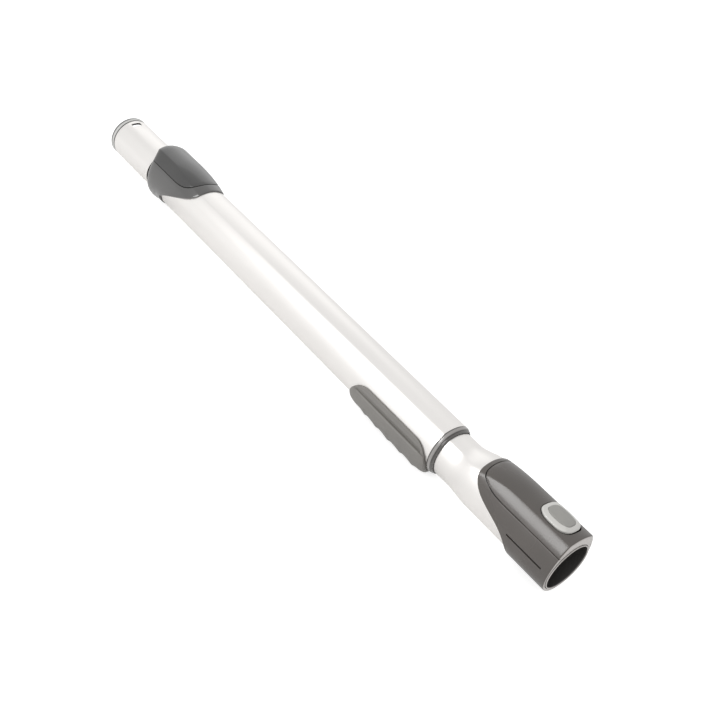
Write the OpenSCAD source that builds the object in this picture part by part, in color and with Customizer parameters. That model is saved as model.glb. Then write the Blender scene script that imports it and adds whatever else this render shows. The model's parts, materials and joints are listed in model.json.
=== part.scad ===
// Telescopic vacuum wand, pushed together.
// X runs from the nozzle end to the hose mouth, Z points up through the hose button,
// and the origin is the centre of the nozzle end on the tube axis.

/* [Lengths along the wand] */
// Whole length from the nozzle end to the hose mouth, pushed together
wand_len = 552; // [530:1:600]
// From the mouth back to where the outer tube ends at the collar
outer_back = 116; // [110:1:130]
// Where the outer tube starts under the nozzle cover
outer_start_x = 75.5; // [74:0.5:77]
// Where the inner tube starts when it is pushed in
inner_start_x = 88; // [87:0.5:90]
// Step between two stops of the telescope
notch_pitch = 12; // [10:0.5:14]

/* [Tube section] */
// Half width of the outer tube
tube_half_w = 18; // [17.6:0.1:19]
// How much smaller the bottom arc is than the half width
tube_chin = 1; // [0.6:0.1:1.4]
// How far the bottom arc's centre lies below the axis
tube_drop = 3.3; // [2.8:0.1:3.6]
// How far the flank arc's centre lies past the middle
tube_flank = 6; // [5:0.1:7]
// Height of the tube's top above the axis
tube_top = 19.8; // [19.2:0.1:20.4]
// Radius of the crowned top
tube_crown = 24; // [22:0.5:26]
// Steel wall of both tubes
tube_wall = 0.8; // [0.6:0.1:1]
// From the outer tube's outside to the inner tube's outside
tube_step = 2.4; // [2.2:0.1:2.8]

/* [Flared socket end] */
// Half width of the flared steel
flare_half_w = 18.6; // [18.4:0.1:18.9]
// Height of the flared steel's top
flare_top = 21.8; // [21.2:0.1:22.2]
// Radius of the flared steel's crown
flare_crown = 30; // [28:1:32]
// Length of the flare
flare_len = 22; // [20:1:26]
// From the mouth back to where the flare is full
flare_back = 77; // [74:1:80]
// From the mouth back to the end of the steel
steel_back = 32; // [31:1:34]

/* [Nozzle spigot] */
// Outer diameter of the spigot
spigot_d = 36; // [35.4:0.1:36.2]
// Width of the plastic ring on the end
end_ring_w = 5.5; // [4:0.5:7]
// Bore through the end ring and the adapter
airway_d = 30.8; // [30:0.1:31.2]
// Distance of the latch slot from the end
slot_x = 11; // [10:0.5:14]
// Width of the latch slot along the spigot
slot_w = 2; // [1.5:0.1:2.5]
// Length of the latch slot across the spigot
slot_len = 9.5; // [8:0.5:12]
// How much the spigot is drawn in where the cover holds it
neck_depth = 0.3; // [0.2:0.05:0.4]

/* [Nozzle cover] */
// Far edge of the cover at its top
cover_x = 59; // [57:0.5:61]
// Length of the cover along its top
cover_len = 71; // [68:0.5:76]
// Half width of the cover
cover_half_w = 20.3; // [20:0.1:20.8]
// Height of the cover's top
cover_top = 25.35; // [25:0.05:26]
// Height of the seam between the shell and its panel
cover_seam_z = 13.5; // [12.5:0.1:14.5]
// Wall of the cover panels
panel_wall = 2; // [1.6:0.1:2.2]
// Gap between two cover parts
seam_gap = 0.25; // [0.2:0.05:0.35]

/* [Collar] */
// Length of the collar outside the outer tube
collar_len = 5; // [4:0.5:8]
// Length of the bush inside the outer tube
bush_len = 28; // [24:1:29]

/* [Release grip] */
// Length of the grip
grip_len = 85; // [80:1:90]
// Height of the grip's upper edge above the axis
grip_edge_z = 3.4; // [2.8:0.1:4]
// Height of the step between the skirt and the body of the grip
grip_step_z = -3; // [-3.6:0.1:-2.4]
// Thickness of the skirt along the tube
skirt_wall = 1.1; // [1:0.1:1.4]
// Half width of the grip's body
grip_half_w = 20.1; // [19.9:0.1:20.4]
// Depth of the grip's round body below the axis
grip_depth = 26.7; // [26.4:0.1:27.2]
// Depth of the flat underside that the wand rests on
grip_flat = 25.6; // [25.5:0.1:26.2]
// Radii of the rounded upper corners along the wand, at the nozzle end and at the collar end
grip_corner_l = [18, 14.5];
// Radius of both upper corners across the wand
grip_corner_h = 17; // [15:0.5:18]
// Distance of the first finger ridge from the end of the grip
ridge_x = 17.4; // [16:0.1:20]
// Spacing of the finger ridges
ridge_pitch = 13.5; // [12:0.1:14.5]
// Depth of the hollow behind each finger ridge
ridge_depth = 1.2; // [0.4:0.1:1.3]
// How far the grip slides to release the tube
grip_travel = 6; // [5:0.5:7]
// How far the lock tooth drops out of its pocket
tooth_travel = 1.3; // [1.2:0.1:1.4]

/* [Handle end] */
// Length of the handle cover along its top
handle_len = 80.5; // [78:0.5:86]
// Half width of the handle cover
handle_half_w = 19.8; // [19.7:0.1:20.4]
// Height of the handle cover's top
handle_top = 25.65; // [25.4:0.05:26.2]
// Radius of the crowned top
handle_crown = 34; // [32:1:38]
// Height of the seam between the shell and its panel
handle_seam_z = 13.6; // [13:0.1:15]
// Bore of the hose socket
socket_d = 35.2; // [35:0.05:35.3]
// Depth of the hose socket
socket_depth = 50; // [46:1:52]
// Wall of the socket sleeve
sleeve_wall = 1.3; // [1.1:0.1:1.35]
// From the mouth back to the far end of the slit in each side
slit_back = 38; // [30:1:40]
// From the mouth back to the near end of the slit
slit_margin = 6.5; // [5:0.5:9]

/* [Hose button] */
// Length of the button
button_len = 26; // [23:0.5:27]
// Width of the button
button_w = 20.6; // [18:0.2:21]
// From the mouth back to the button's middle
button_back = 20; // [19:0.1:21]
// How far the button stands above the panel
button_rise = 2.2; // [1.6:0.1:2.4]
// Diameter of the latch pin
pin_d = 2.4; // [2:0.1:2.6]
// Angle that the latch turns when the button is pressed
latch_angle = 7.5; // [7:0.1:8]

/* [Hidden] */
$fn = 96;

// Clearance of parts that slide past each other
slide_gap = 0.3;
// Clearance of parts that are fixed to each other
seat_gap = 0.1;
// Small overlap that keeps cuts clean
eps = 0.05;

// A section is [half width, chin, drop, flank offset, top, crown radius]
tube_s = [tube_half_w, tube_chin, tube_drop, tube_flank, tube_top, tube_crown];
flare_s = [flare_half_w, 0.1, 0.2, 16, flare_top, flare_crown];
cover_s = [cover_half_w, 0.4, 2.2, 13, cover_top, 32];
handle_s = [handle_half_w, 0.4, 2.1, 15.2, handle_top, handle_crown];
nose_s = [handle_half_w - 0.4, 0.4, 1.2, 15.6, flare_top + 0.6, 31];
inner_s = grow(tube_s, -tube_step);

// Number of points on the crown, on each flank and on the bottom arc of a loft ring
crown_n = 8;
flank_n = 8;
bottom_n = 18;

// Blending and section functions

function mix(a, b, t) = a * (1 - t) + b * t;
function clamp01(t) = min(1, max(0, t));
function smooth(t) = clamp01(t) * clamp01(t) * (3 - 2 * clamp01(t));
function grow(s, d) = [s[0] + d, s[1], s[2], s[3], s[4] + d, s[5] + d];
function flank_z(s) = -s[2] + sqrt(s[1] * s[1] + 2 * s[3] * s[1]);
function tangent_angle(s) = atan2(-s[2] - flank_z(s), s[3]);

// Right-hand crease, where the crown meets the flank
function crease(s) =
    let (zt = s[4] - s[5],
         zf = flank_z(s),
         rf = s[0] + s[3],
         d = norm([s[3], zt - zf]),
         a = (rf * rf - s[5] * s[5] + d * d) / (2 * d),
         h = sqrt(rf * rf - a * a))
    [-s[3] + (a * s[3] - h * (zt - zf)) / d, zf + (a * (zt - zf) + h * s[3]) / d];

// Outline of a section as [y, z] points, counter-clockwise seen from the mouth
function outline(s) =
    let (zt = s[4] - s[5],
         zf = flank_z(s),
         rf = s[0] + s[3],
         rb = s[0] - s[1],
         c = crease(s),
         at = atan2(c[1] - zt, c[0]),
         a1 = atan2(c[1] - zf, c[0] + s[3]),
         a2 = tangent_angle(s))
    concat(
        [for (i = [0 : crown_n]) let (a = at + (180 - 2 * at) * i / crown_n)
            [s[5] * cos(a), zt + s[5] * sin(a)]],
        [for (i = [1 : flank_n]) let (a = mix(a1, a2, i / flank_n))
            [s[3] - rf * cos(a), zf + rf * sin(a)]],
        [for (i = [1 : bottom_n]) let (a = 180 - a2 + (180 + 2 * a2) * i / bottom_n)
            [rb * cos(a), -s[2] + rb * sin(a)]],
        [for (i = [1 : flank_n - 1]) let (a = mix(a2, a1, i / flank_n))
            [-s[3] + rf * cos(a), zf + rf * sin(a)]]);

function ring(x, s) = [for (p = outline(s)) [x, p[0], p[1]]];

// Solid through a list of rings with equal numbers of points
module loft(rings) {
    n = len(rings[0]);
    last = len(rings) - 1;
    polyhedron(
        points = [for (r = rings) for (p = r) p],
        faces = concat(
            [[for (i = [0 : n - 1]) i]],
            [[for (i = [n - 1 : -1 : 0]) last * n + i]],
            [for (j = [0 : last - 1]) for (i = [0 : n - 1]) let (k = (i + 1) % n)
                [j * n + i, (j + 1) * n + i, (j + 1) * n + k]],
            [for (j = [0 : last - 1]) for (i = [0 : n - 1]) let (k = (i + 1) % n)
                [j * n + i, (j + 1) * n + k, j * n + k]]));
}

// Closed pipe between two lists of rings, outer and inner
module loft_pipe(outer, inner) {
    n = len(outer[0]);
    m = len(outer);
    last = m - 1;
    function at(side, j, i) = (side * m + j) * n + i % n;
    polyhedron(
        points = concat([for (r = outer) for (p = r) p], [for (r = inner) for (p = r) p]),
        faces = [for (i = [0 : n - 1]) each concat(
            [for (j = [0 : last - 1]) each [
                [at(0, j, i), at(0, j + 1, i), at(0, j + 1, i + 1)],
                [at(0, j, i), at(0, j + 1, i + 1), at(0, j, i + 1)],
                [at(1, j, i), at(1, j + 1, i + 1), at(1, j + 1, i)],
                [at(1, j, i), at(1, j, i + 1), at(1, j + 1, i + 1)]]],
            [[at(0, 0, i), at(0, 0, i + 1), at(1, 0, i + 1), at(1, 0, i)],
             [at(0, last, i), at(1, last, i), at(1, last, i + 1), at(0, last, i + 1)]])]);
}

// True arcs of the same section
module oval(s) {
    zf = flank_z(s);
    z_tan = zf + (s[0] + s[3]) * sin(tangent_angle(s));
    translate([0, -s[2]]) circle(r = s[0] - s[1]);
    intersection() {
        translate([-s[3], zf]) circle(r = s[0] + s[3]);
        translate([s[3], zf]) circle(r = s[0] + s[3]);
        translate([0, s[4] - s[5]]) circle(r = s[5]);
        translate([-2 * s[0], z_tan]) square([4 * s[0], 4 * s[0]]);
    }
}

// Extrudes a [y, z] outline from x0 to x1
module along_x(x0, x1) {
    translate([x0, 0, 0]) rotate([90, 0, 90]) linear_extrude(x1 - x0) children();
}

module oval_bar(s, x0, x1) {
    along_x(x0, x1) oval(s);
}

module oval_pipe(outer, inner, x0, x1) {
    along_x(x0, x1) difference() {
        oval(outer);
        oval(inner);
    }
}

// Extrudes an [x, z] outline across the wand
module across(width) {
    rotate([90, 0, 0]) translate([0, 0, -width / 2]) linear_extrude(width) children();
}

module pipe(r_out, r_in, x0, x1) {
    along_x(x0, x1) difference() {
        circle(r = r_out);
        circle(r = r_in);
    }
}

module box(x, y, z) {
    translate([x[0], y[0], z[0]]) cube([x[1] - x[0], y[1] - y[0], z[1] - z[0]]);
}

// Where the outer tube ends
outer_end_x = wand_len - outer_back;

// Nozzle end

spigot_r = spigot_d / 2;
spigot_bore = spigot_r - tube_wall;
airway_r = airway_d / 2;
ring_tongue = 3.5;
spigot_end_x = outer_start_x - 10;
neck_r = spigot_r - neck_depth;
neck_bore = neck_r - tube_wall;
neck_x = [cover_x - 7, cover_x - 2];
adapter_nose = spigot_end_x - neck_x[1] - 1;

module spigot_end_ring() {
    lip = 1.2;
    color("silver") rotate([90, 0, 90]) rotate_extrude() polygon(concat(
        [[airway_r + 0.4, 0], [spigot_r - lip, 0]],
        [for (a = [15 : 15 : 75]) [spigot_r - lip + lip * sin(a), lip - lip * cos(a)]],
        [[spigot_r, lip], [spigot_r, end_ring_w - 0.6], [spigot_r - 0.4, end_ring_w],
         [spigot_bore - seat_gap, end_ring_w], [spigot_bore - seat_gap, end_ring_w + ring_tongue],
         [airway_r + 0.4, end_ring_w + ring_tongue]]));
}

// Round tube with its latch slot, drawn in a little towards the cover
module spigot_tube() {
    start = end_ring_w + seat_gap;
    color("gainsboro") difference() {
        rotate([90, 0, 90]) rotate_extrude() polygon([
            [spigot_bore, start], [spigot_r, start], [spigot_r, neck_x[0]], [neck_r, neck_x[1]],
            [neck_r, spigot_end_x], [neck_bore, spigot_end_x], [neck_bore, neck_x[1]],
            [spigot_bore, neck_x[0]]]);
        box([slot_x, slot_x + slot_w], [-slot_len / 2, slot_len / 2], [0, 2 * spigot_r]);
    }
}

// Plastic piece that joins the round spigot to the oval tube
module spigot_adapter() {
    color("dimgray") difference() {
        union() {
            pipe(neck_bore - seat_gap, airway_r, spigot_end_x - adapter_nose, spigot_end_x + 1);
            oval_bar(tube_s, spigot_end_x + seat_gap, outer_start_x - seat_gap);
            oval_bar(grow(tube_s, -tube_wall - seat_gap), outer_start_x - 1, inner_start_x - 1);
        }
        along_x(spigot_end_x - adapter_nose - 1, inner_start_x) circle(r = airway_r);
        screw_hole(cover_screw_x, -tube_low);
    }
}

module outer_tube() {
    color("gainsboro") difference() {
        oval_pipe(tube_s, grow(tube_s, -tube_wall), outer_start_x, outer_end_x);
        box([tooth_x - window_l / 2, tooth_x + window_l / 2], [-window_w / 2, window_w / 2],
            [-2 * tube_half_w, 0]);
    }
}

// Nozzle cover: a shell with a separate top panel

cover_end_x = cover_x + cover_len;
cover_slant = 5;
cover_tail = 42;
cover_seam_back = 7;
cover_low_end = 23;
cover_taper = [12, 25];

// Far edge, further from the end at the bottom than at the top
function cover_far(z) =
    cover_x + cover_slant * (1 - pow(1 - clamp01((cover_top - z) / (cover_top + 1.5)), 4));
function cover_near(z) = mix(cover_x + cover_low_end, cover_end_x, smooth((z + 15) / 34));

// Shoulder of the cover: how far the surface is set in, at a distance from the far edge
shoulder = [[0, 3.2], [0.5, 2.1], [1.5, 1.15], [3, 0.45], [5, 0.1], [7, 0]];

// The underside draws in to the tube early, the crown only along the tail; the flank stays the same arc
function cover_at(x) =
    let (t = pow(clamp01((x - cover_end_x + cover_tail) / cover_tail), 1.9),
         u = pow(clamp01((x - cover_x - cover_taper[0]) / (cover_taper[1] - cover_taper[0])), 1.5),
         chin = mix(cover_s[1], 0.05, u),
         drop = sqrt(chin * chin + 2 * cover_s[3] * chin) - flank_z(cover_s))
    mix([cover_half_w, chin, drop, cover_s[3], cover_top, cover_s[5]], grow(tube_s, 0.8), t);

function cover_rings(inset) = concat(
    [for (q = shoulder) [for (p = outline(grow(cover_s, -q[1] - inset)))
        [cover_far(p[1]) + q[0], p[0], p[1]]]],
    [for (x = [for (f = [0, 0.3, 0.6, 1]) cover_x + mix(cover_taper[0], cover_taper[1], f),
               for (i = [0 : 7]) cover_end_x - cover_tail + 2 + (cover_tail + 2) * i / 7])
        ring(x, grow(cover_at(x), -inset))]);

// Side view of the panel, grown by a gap
module cover_panel_area(gap) {
    cx = cover_end_x - cover_seam_back - 20;
    polygon(concat(
        [[cover_x - 5, 40], [cover_x - 5, cover_seam_z - gap], [cx, cover_seam_z - gap]],
        [for (a = [10 : 10 : 90])
            [cx + (20 + gap) * sin(a), cover_top - (cover_top - cover_seam_z + gap) * cos(a)]],
        [[cx + 20 + gap, 40]]));
}

module cover_body(inset) {
    intersection() {
        loft(cover_rings(inset));
        across(60) polygon(concat(
            [[cover_x - 5, -40]],
            [for (z = [-20 : 2 : 22]) [cover_near(z), z]],
            [[cover_end_x, 40], [cover_x - 5, 40]]));
    }
}

module nozzle_cover_shell() {
    color("dimgray") difference() {
        cover_body(0);
        along_x(cover_x - 5, spigot_end_x) circle(r = neck_r + seat_gap);
        oval_bar(grow(tube_s, seat_gap), spigot_end_x - eps, cover_end_x + 10);
        difference() {
            across(60) cover_panel_area(0);
            oval_bar(grow(tube_s, 1.4), cover_x - 5, cover_end_x + 10);
        }
        screw_hole(cover_screw_x, cover_low);
    }
}

cover_low = -(cover_half_w - cover_s[1] + cover_s[2]);
cover_screw_x = outer_start_x - 4;

module nozzle_cover_screw() {
    screw(cover_screw_x, cover_low);
}

// Flat-headed screw upward into the underside at height z, with a cross slot
screw_head_r = 2.3;
screw_head_h = 0.9;
screw_r = 1;
screw_len = 3.5;

module screw(x, z) {
    color("silver") translate([x, 0, z + 0.1]) difference() {
        union() {
            cylinder(r = screw_head_r, h = screw_head_h);
            cylinder(r = screw_r, h = screw_len);
        }
        for (a = [0, 90]) rotate(a) cube([3, 0.6, 1], center = true);
    }
}

module screw_hole(x, z) {
    translate([x, 0, z - 1]) cylinder(r = screw_head_r + 0.2, h = screw_head_h + 1.1 + seat_gap);
    translate([x, 0, z]) cylinder(r = screw_r + 0.05, h = screw_len + 0.2);
}

module nozzle_cover_panel() {
    color("dimgray") difference() {
        intersection() {
            cover_body(0);
            across(60) cover_panel_area(-seam_gap);
        }
        oval_bar(grow(tube_s, 1.4 + seat_gap), cover_x - 5, cover_end_x + 10);
        loft(cover_rings(panel_wall));
    }
}

// Collar at the end of the outer tube

module collar_bush() {
    steps = 6;
    lip_s = grow(inner_s, slide_gap + 0.2);
    color("dimgray") difference() {
        union() {
            loft([for (i = [0 : steps]) let (u = i / steps)
                ring(outer_end_x + seat_gap + collar_len * u, mix(tube_s, lip_s, pow(u, 1.9)))]);
            oval_bar(grow(tube_s, -tube_wall - seat_gap), outer_end_x - bush_len, outer_end_x + 1);
        }
        oval_bar(grow(inner_s, slide_gap), outer_end_x - bush_len - 1, outer_end_x + collar_len + 1);
        oval_bar(grow(inner_s, seal_depth), seal_x, seal_x + seal_w);
    }
}

seal_depth = 1;
seal_w = 3;
seal_x = outer_end_x + 1;

module collar_seal() {
    color("black") oval_pipe(grow(inner_s, seal_depth - seat_gap), grow(inner_s, slide_gap - 0.1),
        seal_x + seat_gap, seal_x + seal_w - seat_gap);
}

// Release grip, its spring and the lock tooth

grip_end_x = outer_end_x + 1;
grip_x = grip_end_x - grip_len;
tooth_x = grip_end_x - 34;
tooth_l = 5;
tooth_w = 8;
window_l = tooth_l + 2;
window_w = tooth_w + 1.6;
tube_low = tube_half_w - tube_chin + tube_drop;
inner_low = tube_low - tube_step;
pocket_depth = 1.4;
tooth_reach = 1;
grip_floor = tube_low + 4.3;
groove_wall = 0.6;
rail_r = 0.8;
rail_z = -(tube_low + 1.9);
rail_w = 13;
spring_r = 1.5;
spring_wire = 0.5;
spring_z = -(tube_low + 2.7);
spring_x = [tooth_x - 20.5, tooth_x - 8.5];
base_x = [spring_x[0] - 2, tooth_x + 7];

// Share of the full bulge at x, rounded off at both ends of the grip
function grip_bulge(x) =
    pow(clamp01((x - grip_x) / 46), 0.3) * pow(clamp01((grip_end_x - x) / 9), 0.4);

// Hollow behind each finger ridge
function ridge(x) =
    let (u = (x - grip_x - ridge_x) / ridge_pitch,
         f = u - floor(u),
         on = smooth((u + 0.9) / 0.6) * smooth((4.8 - u) / 0.6))
    ridge_depth * on * (f < 0.3 ? sin(300 * f) : cos(90 * (f - 0.3) / 0.7));

// Rounded lower half of the grip's body at x, closed by a flat top
function grip_ring(x) =
    let (w = mix(tube_half_w + 0.3, grip_half_w, grip_bulge(x)),
         d = mix(tube_low + 0.2, grip_depth, grip_bulge(x)) - ridge(x) + grip_step_z)
    [for (i = [0 : 30]) let (a = 180 + 6 * i)
        [x, -w * sign(cos(a)) * -pow(abs(cos(a)), 0.91), grip_step_z - d * pow(abs(sin(a)), 0.91)]];

function grip_stations() = concat(
    [for (d = [0.1, 0.8, 2, 4, 7, 10.5, 14]) grip_x + d],
    [for (i = [0 : 21]) grip_x + ridge_x + ridge_pitch * i / 5],
    [for (d = [7.5, 5.5, 3.6, 2, 0.8, 0.1]) grip_end_x - d]);

// Side view of the grip with its large rounded corners and its flat underside
module grip_area() {
    l = grip_corner_l;
    h = grip_corner_h;
    toe_l = 16;
    toe_h = 5.6;
    polygon(concat(
        [[grip_x, -grip_flat]],
        [for (a = [0 : 10 : 90]) [grip_x + l[0] * (1 - cos(a)), grip_edge_z - h * (1 - sin(a))]],
        [for (a = [90 : -10 : 0]) [grip_end_x - l[1] * (1 - cos(a)), grip_edge_z - h * (1 - sin(a))]],
        [for (a = [0 : 10 : 90])
            [grip_end_x - toe_l * (1 - cos(a)), -grip_flat + toe_h * (1 - sin(a))]]));
}

// Groove between the skirt and the body of the grip
module grip_groove() {
    difference() {
        box([grip_x + 6, grip_end_x - 6], [-40, 40], [grip_step_z - 0.4, grip_step_z + 0.6]);
        oval_bar(grow(tube_s, slide_gap + groove_wall), grip_x, grip_end_x);
    }
}

module release_grip() {
    cavity = [base_x[0] - 1, base_x[1] + grip_travel + 1];
    color("gray") difference() {
        intersection() {
            across(60) grip_area();
            union() {
                oval_bar(grow(tube_s, slide_gap + skirt_wall), grip_x, grip_end_x);
                loft([for (x = grip_stations()) grip_ring(x)]);
            }
        }
        grip_groove();
        difference() {
            union() {
                oval_bar(grow(tube_s, slide_gap), grip_x - 1, grip_end_x + 1);
                box(cavity, [-9, 9], [-grip_floor, 0]);
            }
            // Cheeks that drive the tooth, and the stop that pushes the spring
            for (side = [-1, 1])
                box([tooth_x - 4, tooth_x + 10], [side * 6.4 - 1.1, side * 6.4 + 1.1],
                    [-grip_floor - eps, -tube_low - 0.6]);
            box([spring_x[1], spring_x[1] + 1.6], [-4, 4], [-grip_floor - eps, -tube_low - 1.5]);
        }
        // Sloping slots that pull the tooth down as the grip slides
        hull() for (p = [[0, 0], [grip_travel, -tooth_travel]])
            translate([tooth_x + p[0], 0, rail_z + p[1]]) rotate([90, 0, 0])
                cylinder(r = rail_r + slide_gap, h = 15.4, center = true, $fn = 32);
    }
}

// Saddle under the tube that guides the tooth and holds the spring
module lock_base() {
    color("dimgray") difference() {
        union() {
            intersection() {
                box(base_x, [-5, 5], [-tube_low - 1.1, 0]);
                oval_bar(grow(tube_s, 1.1), base_x[0], base_x[1]);
            }
            box([base_x[0], base_x[0] + 1.8], [-5, 5], [-grip_floor + 0.4, -tube_low + 1]);
        }
        oval_bar(grow(tube_s, seat_gap), base_x[0] - 1, base_x[1] + 1);
        box([tooth_x - tooth_l / 2 - slide_gap, tooth_x + tooth_l / 2 + slide_gap],
            [-tooth_w / 2 - slide_gap, tooth_w / 2 + slide_gap], [-40, 0]);
    }
}

module lock_tooth() {
    top = -inner_low + tooth_reach;
    color("silver") {
        box([tooth_x - tooth_l / 2, tooth_x + tooth_l / 2], [-tooth_w / 2, tooth_w / 2],
            [rail_z - rail_r, top]);
        translate([tooth_x, 0, rail_z]) rotate([90, 0, 0])
            cylinder(r = rail_r, h = rail_w + 1.6, center = true);
    }
}

// Coil spring with flat-wound ends, standing on z = 0
module coil(r, wire, height, turns) {
    sides = 5;
    per_turn = 10;
    steps = turns * per_turn;
    loft([for (i = [0 : steps])
        let (a = 360 * i / per_turn,
             z = mix(wire, height - wire, i / steps))
        [for (k = [0 : sides - 1]) let (b = -360 * k / sides, q = r + wire * cos(b))
            [q * cos(a), q * sin(a), z + wire * sin(b)]]]);
}

module grip_spring() {
    color("silver") translate([spring_x[0], 0, spring_z]) rotate([0, 90, 0])
        coil(spring_r - spring_wire, spring_wire, spring_x[1] - spring_x[0], 7);
}

// Inner tube with its lock pockets and flared socket end

flare_x = wand_len - flare_back - flare_len;
flare_full_x = wand_len - flare_back;
steel_end_x = wand_len - steel_back;
guide_len = 20;
notch_count = floor((tooth_x - inner_start_x - guide_len - 6) / notch_pitch);

function flare_rings(inset) = [
    for (x = [inner_start_x, for (i = [0 : 7]) mix(flare_x, flare_full_x, i / 7), steel_end_x])
        ring(x, grow(mix(inner_s, flare_s, smooth((x - flare_x) / flare_len)), -inset))];

module pocket_row(grow_by) {
    for (k = [0 : notch_count])
        translate([tooth_x - notch_pitch * k, 0, -inner_low + (pocket_depth + grow_by) / 2 - 1])
            cube([tooth_l + 1.4 + 2 * grow_by, tooth_w + 1.2 + 2 * grow_by,
                  pocket_depth + grow_by + 2], center = true);
}

module inner_tube() {
    color("gainsboro") difference() {
        union() {
            loft_pipe(flare_rings(0), flare_rings(tube_wall));
            intersection() {
                pocket_row(tube_wall);
                oval_bar(grow(inner_s, -0.3), inner_start_x, flare_x);
            }
        }
        pocket_row(0);
        // Window for the hose latch
        box([hook_x - 3, steel_end_x + 1], [-latch_w / 2 - 1, latch_w / 2 + 1], [0, 40]);
    }
}

module guide_bush() {
    color("dimgray") difference() {
        oval_bar(grow(tube_s, -tube_wall - slide_gap), inner_start_x - 0.5 + seat_gap,
            inner_start_x + guide_len);
        oval_bar(grow(inner_s, seat_gap), inner_start_x - 1, inner_start_x + guide_len + 1);
        oval_pipe(tube_s, grow(tube_s, -tube_wall - slide_gap - 0.7),
            inner_start_x + 6, inner_start_x + 10);
    }
}

module guide_seal() {
    outside = grow(tube_s, -tube_wall - slide_gap);
    color("black") oval_pipe(outside, grow(outside, -0.6),
        inner_start_x + 6 + seat_gap, inner_start_x + 10 - seat_gap);
}

// Hose socket

socket_r = socket_d / 2;
sleeve_r = socket_r + sleeve_wall;
socket_stop_x = wand_len - socket_depth;
sleeve_proud = 0.8;
hook_x = socket_stop_x + slot_x + slot_w / 2;

module socket_stop() {
    color("black") difference() {
        oval_bar(grow(flare_s, -tube_wall - seat_gap), socket_stop_x - 4, socket_stop_x);
        along_x(socket_stop_x - 5, socket_stop_x + 1) circle(r = airway_r);
    }
}

pin_x = wand_len - 29;
pin_z = sleeve_r + 2.3;
pin_r = pin_d / 2;
hub_r = pin_r + 0.8;
ear_r = pin_r + 0.7;
latch_w = 9;

module socket_sleeve() {
    color("dimgray") difference() {
        union() {
            pipe(sleeve_r, socket_r, steel_end_x + seat_gap, wand_len + sleeve_proud);
            // Boss for the screw under the handle
            translate([handle_screw_x, 0, -sleeve_r - 1]) cylinder(r = 3, h = 2);
            // Ears that carry the latch pin
            for (side = [-1, 1])
                intersection() {
                    translate([pin_x, side * (latch_w / 2 + 1.6), 0]) union() {
                        box([-ear_r, ear_r], [-1.1, 1.1], [sleeve_r - 2, pin_z]);
                        translate([0, 0, pin_z]) rotate([90, 0, 0])
                            cylinder(r = ear_r, h = 2.2, center = true);
                    }
                    box([steel_end_x + seat_gap, wand_len], [-20, 20], [0, 40]);
                }
        }
        along_x(steel_end_x - 1, wand_len + 2) circle(r = socket_r);
        screw_hole(handle_screw_x, handle_low_z);
        translate([pin_x, 0, pin_z]) rotate([90, 0, 0]) cylinder(r = pin_r, h = 30, center = true);
    }
}

// Handle cover: a shell with a separate top panel

handle_x = wand_len - handle_len;
handle_rise = 35;
handle_low = 47;
panel_nose = 4;

// Leading edge, far forward at the top and steepest just above the axis
function handle_edge(z) = handle_x + handle_low * (0.5 - 1.2 * atan((z - 3) / 6.6) / 180);

function handle_at(x) =
    let (t = 1 - pow(1 - clamp01((x - handle_x) / handle_rise), 2.2))
    mix(nose_s, handle_s, t);

function handle_rings(inset) = concat(
    [for (x = [-2, 1.5, 4, 8, 13, 19, 26, handle_rise, handle_len - 1.2])
        ring(handle_x + x, grow(handle_at(handle_x + x), -inset))],
    inset > 0 ? [ring(wand_len + 2, grow(handle_s, -inset))] :
        [ring(wand_len - 0.4, grow(handle_s, -0.25)), ring(wand_len, grow(handle_s, -0.8))]);

module handle_panel_area(gap) {
    x0 = handle_x + panel_nose;
    rx = 24;
    polygon(concat(
        [[wand_len + 5, 40], [x0 - gap, 40]],
        [for (a = [0 : 10 : 90])
            [x0 + rx - (rx + gap) * cos(a), handle_top - (handle_top - handle_seam_z + gap) * sin(a)]],
        [[wand_len + 5, handle_seam_z - gap]]));
}

module handle_body() {
    intersection() {
        loft(handle_rings(0));
        across(60) polygon(concat(
            [[wand_len + 5, -40]],
            [for (z = [-20 : 2 : 22]) [handle_edge(z), z]],
            [[handle_x, 40], [wand_len + 5, 40]]));
    }
}

// Room under the panel for the latch, and for the button when it is pressed in
module latch_room() {
    drop = (button_x + button_a - pin_x) * sin(latch_angle);
    box([hook_x - 4, wand_len - 4], [-latch_w / 2 - 3.4, latch_w / 2 + 3.4], [0, 40]);
    translate([button_x, 0, button_under - drop - 0.5]) linear_extrude(10)
        button_outline(button_a + 0.6, button_b + 0.6);
}

module handle_core() {
    oval_bar(grow(flare_s, seat_gap), handle_x - 5, steel_end_x);
    along_x(steel_end_x - eps, wand_len + 5) circle(r = sleeve_r + seat_gap);
}

handle_low_z = -(handle_half_w - handle_s[1] + handle_s[2]);
handle_screw_x = wand_len - 14;

module handle_screw() {
    screw(handle_screw_x, handle_low_z);
}

slit_z = -0.5;
slit_h = 1;
slit_x = [wand_len - slit_back, wand_len - slit_margin];

module handle_shell() {
    color("dimgray") difference() {
        handle_body();
        handle_core();
        difference() {
            across(60) handle_panel_area(0);
            loft(handle_rings(panel_wall + seat_gap));
        }
        latch_room();
        translate([handle_screw_x, 0, -sleeve_r - 1 - seat_gap]) cylinder(r = 3 + seat_gap, h = 3);
        screw_hole(handle_screw_x, handle_low_z);
        for (side = [-1, 1])
            box(slit_x, [side * handle_half_w - 0.9, side * handle_half_w + 0.9], [slit_z, slit_z + slit_h]);
    }
}

module handle_panel() {
    color("dimgray") difference() {
        intersection() {
            handle_body();
            across(60) handle_panel_area(-seam_gap);
        }
        loft(handle_rings(panel_wall));
        handle_core();
        button_hole();
    }
}

// Hose release button

button_x = wand_len - button_back;

// Outline of the button in plan, between an ellipse and a rectangle
module button_outline(a, b) {
    function se(t) = sign(t) * pow(abs(t), 0.68);
    polygon([for (t = [0 : 7.5 : 352.5]) [a * se(cos(t)), b * se(sin(t))]]);
}

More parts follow.
